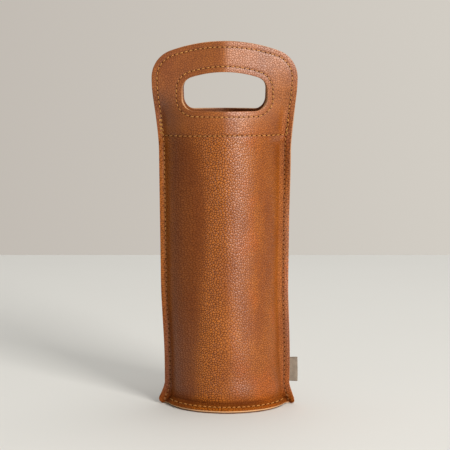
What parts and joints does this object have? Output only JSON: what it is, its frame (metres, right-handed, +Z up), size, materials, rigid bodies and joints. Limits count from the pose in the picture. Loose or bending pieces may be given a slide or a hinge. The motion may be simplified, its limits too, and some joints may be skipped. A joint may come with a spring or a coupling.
{
  "type": "bottle carrier",
  "caption": "Upright leather bottle carrier with arched handles, rounded hand holes, outward stitched side seams, lined handles, a lens-shaped base and a small folded side label.",
  "frame": {"origin": "on the floor under the middle of the carrier", "axes": "+X across the carrier towards the side with the label, +Y from the front panel to the back panel, +Z up"},
  "size_m": [0.1432, 0.1044, 0.363],
  "materials": {
    "panel_leather": "tumbled grain, semi-matt",
    "lining_leather": "smooth grain, semi-matt",
    "label_fabric": "woven, matt",
    "thread": "twisted thread, slight sheen"
  },
  "bodies": {
    "root": {"front_panel": "panel_leather", "back_panel": "panel_leather", "front_facing": "lining_leather", "back_facing": "lining_leather", "base": "panel_leather", "side_label": "label_fabric", "front_edge_stitching": "thread", "back_edge_stitching": "thread", "front_hand_hole_stitching": "thread", "back_hand_hole_stitching": "thread", "front_hem_stitching": "thread", "back_hem_stitching": "thread", "left_seam_stitching": "thread", "right_seam_stitching": "thread", "left_mouth_tack": "thread", "right_mouth_tack": "thread", "base_seam_stitching": "thread"}
  },
  "joints": []
}
